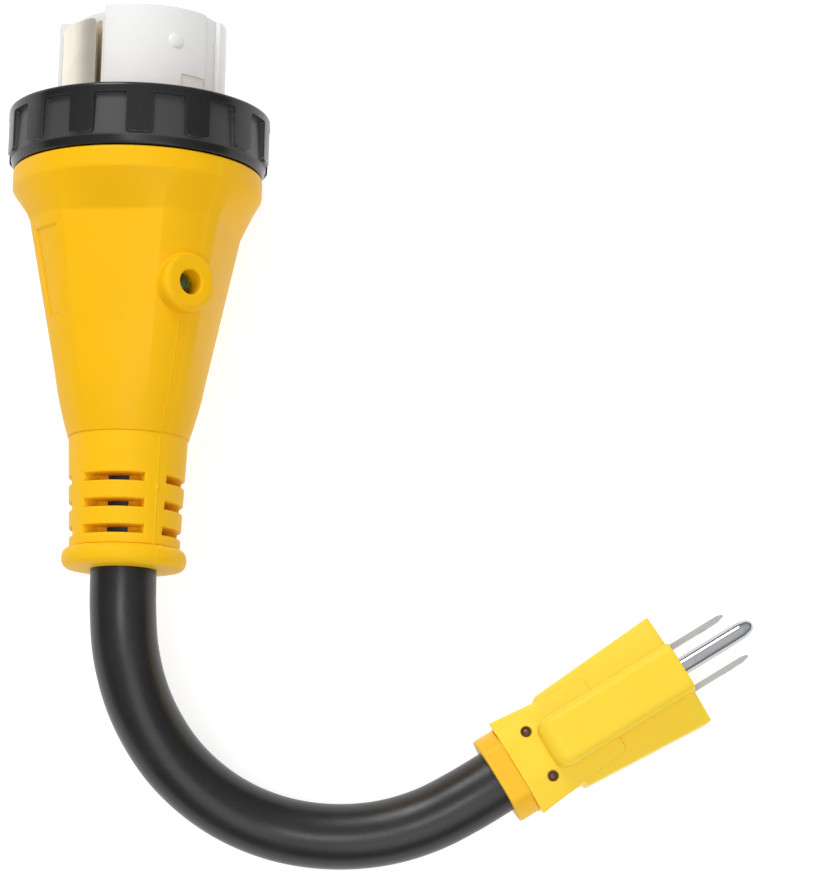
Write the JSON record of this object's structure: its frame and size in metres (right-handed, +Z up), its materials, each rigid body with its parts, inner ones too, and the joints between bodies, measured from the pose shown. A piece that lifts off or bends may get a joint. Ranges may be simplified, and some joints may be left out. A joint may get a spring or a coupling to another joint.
{
  "type": "power adapter cord",
  "caption": "Short dogbone power adapter: a locking round connector with a threaded coupling ring and lamp, joined by a thick cord to a straight-blade grounded plug.",
  "frame": {"origin": "centre of the connector insert's front face, on the connector's axis", "axes": "+Y out of the connector's mating face along its axis, +Z up; the adapter lies on the plane z = -35 mm"},
  "size_m": [0.2019, 0.2235, 0.07],
  "materials": {
    "connector_vinyl": "satin moulded vinyl, fine texture",
    "relief_vinyl": "satin flexible vinyl",
    "ring_nylon": "satin black glass-filled nylon",
    "insert_plastic": "smooth white thermoset",
    "contact_brass": "plain stamped brass",
    "ground_nickel": "nickel-plated sheet",
    "strap_copper": "plain copper strap",
    "black_insulation": "smooth insulation",
    "white_insulation": "smooth insulation",
    "green_insulation": "smooth insulation",
    "lamp_lens": "clear green epoxy, unlit",
    "tinned_wire": "tinned copper wire",
    "resistor_body": "dipped ceramic",
    "cord_rubber": "satin black cord jacket",
    "plug_vinyl": "satin moulded vinyl",
    "collar_vinyl": "satin moulded vinyl",
    "rivet_bronze": "dark browned rivet",
    "bridge_plastic": "moulded phenolic",
    "blade_nickel": "nickel-plated brass blade",
    "pin_chrome": "polished plated pin"
  },
  "bodies": {
    "adapter": {"connector_body": "connector_vinyl", "strain_relief": "relief_vinyl", "insert_front": "insert_plastic", "insert_rear": "insert_plastic", "contact_x": "contact_brass", "contact_y": "contact_brass", "contact_neutral": "contact_brass", "ground_band": "ground_nickel", "ground_spring": "ground_nickel", "jumper_strap": "strap_copper", "hot_lead": "black_insulation", "neutral_lead": "white_insulation", "ground_lead": "green_insulation", "lamp": "lamp_lens", "lamp_leads": "tinned_wire", "lamp_resistor": "resistor_body", "cord_jacket": "cord_rubber", "plug_base": "plug_vinyl", "plug_cover": "plug_vinyl", "plug_collar": "collar_vinyl", "plug_rivets": "rivet_bronze", "blade_bridge": "bridge_plastic", "blade_hot": "blade_nickel", "blade_neutral": "blade_nickel", "ground_pin": "pin_chrome", "plug_hot_lead": "black_insulation", "plug_neutral_lead": "white_insulation", "plug_ground_lead": "green_insulation"},
    "coupling_ring": {"coupling_ring": "ring_nylon"}
  },
  "joints": [
    {"name": "ring_spin", "type": "hinge", "parent": "adapter", "child": "coupling_ring", "pos_m": [0, -0.033, 0], "axis": [0, 1, 0], "continuous": true}
  ]
}
